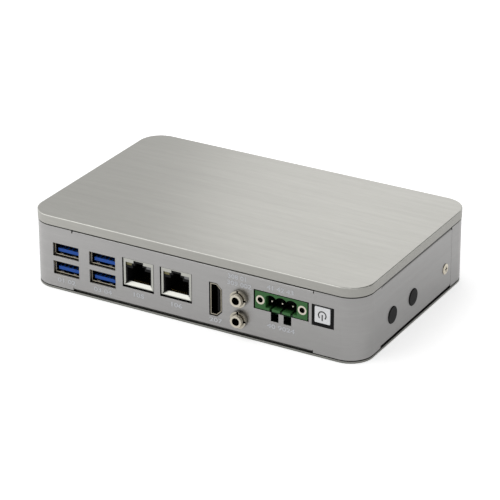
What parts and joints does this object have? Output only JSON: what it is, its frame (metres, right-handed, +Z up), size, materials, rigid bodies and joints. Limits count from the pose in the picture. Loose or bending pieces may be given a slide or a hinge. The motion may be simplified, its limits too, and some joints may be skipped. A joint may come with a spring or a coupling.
{
  "type": "fanless industrial pc",
  "caption": "Flat rectangular computer housing with rounded corners, a brushed lid, sockets and a power button along one long side.",
  "frame": {"origin": "centre of the underside of the base plate, on the surface that the part stands on", "axes": "+X along the socket side from the USB sockets to the power button, -Y out of the socket side, +Z up"},
  "size_m": [0.1686, 0.1089, 0.0355],
  "materials": {
    "audio_barrels": "satin",
    "audio_body": "matt",
    "audio_nuts": "satin",
    "base_plate": "brushed",
    "base_screws": "satin",
    "board_link": "matt",
    "board_screws": "satin",
    "board_standoffs": "turned",
    "button_cap": "satin",
    "button_surround": "matt",
    "button_symbol": "matt",
    "capacitors": "satin",
    "cell_holder": "matt",
    "coin_cell": "satin",
    "corner_posts": "turned",
    "dc_flange_nuts": "satin",
    "dc_header": "satin",
    "dc_pins": "satin",
    "drive_module": "satin",
    "drive_screw": "satin",
    "drive_socket": "matt",
    "drive_standoff": "turned",
    "front_shell": "brushed",
    "hdmi_contacts": "polished",
    "hdmi_core": "matt",
    "hdmi_shell": "satin",
    "heat_block": "machined",
    "hole_plugs": "matt",
    "inductors": "matt",
    "lan_1_contacts": "polished",
    "lan_1_housing": "matt",
    "lan_1_shield": "satin",
    "lan_2_contacts": "polished",
    "lan_2_housing": "matt",
    "lan_2_shield": "satin",
    "lan_activity_lamps": "clear",
    "lan_link_lamps": "clear",
    "mainboard": "satin",
    "memory_module": "satin",
    "memory_socket": "matt",
    "power_board": "satin",
    "power_board_screws": "satin",
    "power_board_standoffs": "turned",
    "processor": "satin",
    "rear_shell": "brushed",
    "side_screws": "satin",
    "switch_base": "matt",
    "switch_plunger": "matt",
    "thermal_pad": "soft",
    "top_cover": "brushed",
    "usb_1_contacts": "polished",
    "usb_1_core": "matt",
    "usb_1_shell": "satin",
    "usb_1_tongues": "satin",
    "usb_2_contacts": "polished",
    "usb_2_core": "matt",
    "usb_2_shell": "satin",
    "usb_2_tongues": "satin"
  },
  "bodies": {
    "chassis": {"audio_barrels": "audio_barrels", "audio_body": "audio_body", "audio_nuts": "audio_nuts", "base_plate": "base_plate", "base_screws": "base_screws", "board_link": "board_link", "board_screws": "board_screws", "board_standoffs": "board_standoffs", "button_surround": "button_surround", "capacitors": "capacitors", "cell_holder": "cell_holder", "coin_cell": "coin_cell", "corner_posts": "corner_posts", "dc_flange_nuts": "dc_flange_nuts", "dc_header": "dc_header", "dc_pins": "dc_pins", "drive_module": "drive_module", "drive_screw": "drive_screw", "drive_socket": "drive_socket", "drive_standoff": "drive_standoff", "front_shell": "front_shell", "hdmi_contacts": "hdmi_contacts", "hdmi_core": "hdmi_core", "hdmi_shell": "hdmi_shell", "heat_block": "heat_block", "hole_plugs": "hole_plugs", "inductors": "inductors", "lan_1_contacts": "lan_1_contacts", "lan_1_housing": "lan_1_housing", "lan_1_shield": "lan_1_shield", "lan_2_contacts": "lan_2_contacts", "lan_2_housing": "lan_2_housing", "lan_2_shield": "lan_2_shield", "lan_activity_lamps": "lan_activity_lamps", "lan_link_lamps": "lan_link_lamps", "mainboard": "mainboard", "memory_module": "memory_module", "memory_socket": "memory_socket", "power_board": "power_board", "power_board_screws": "power_board_screws", "power_board_standoffs": "power_board_standoffs", "processor": "processor", "rear_shell": "rear_shell", "side_screws": "side_screws", "switch_base": "switch_base", "thermal_pad": "thermal_pad", "top_cover": "top_cover", "usb_1_contacts": "usb_1_contacts", "usb_1_core": "usb_1_core", "usb_1_shell": "usb_1_shell", "usb_1_tongues": "usb_1_tongues", "usb_2_contacts": "usb_2_contacts", "usb_2_core": "usb_2_core", "usb_2_shell": "usb_2_shell", "usb_2_tongues": "usb_2_tongues"},
    "power_button": {"button_cap": "button_cap", "button_symbol": "button_symbol", "switch_plunger": "switch_plunger"}
  },
  "joints": [
    {"name": "power_button_press", "type": "slide", "parent": "chassis", "child": "power_button", "axis": [0, 1, 0], "range_m": [0, 0.001], "stiffness_N_per_m": 1200, "springref_m": -0.0006}
  ]
}
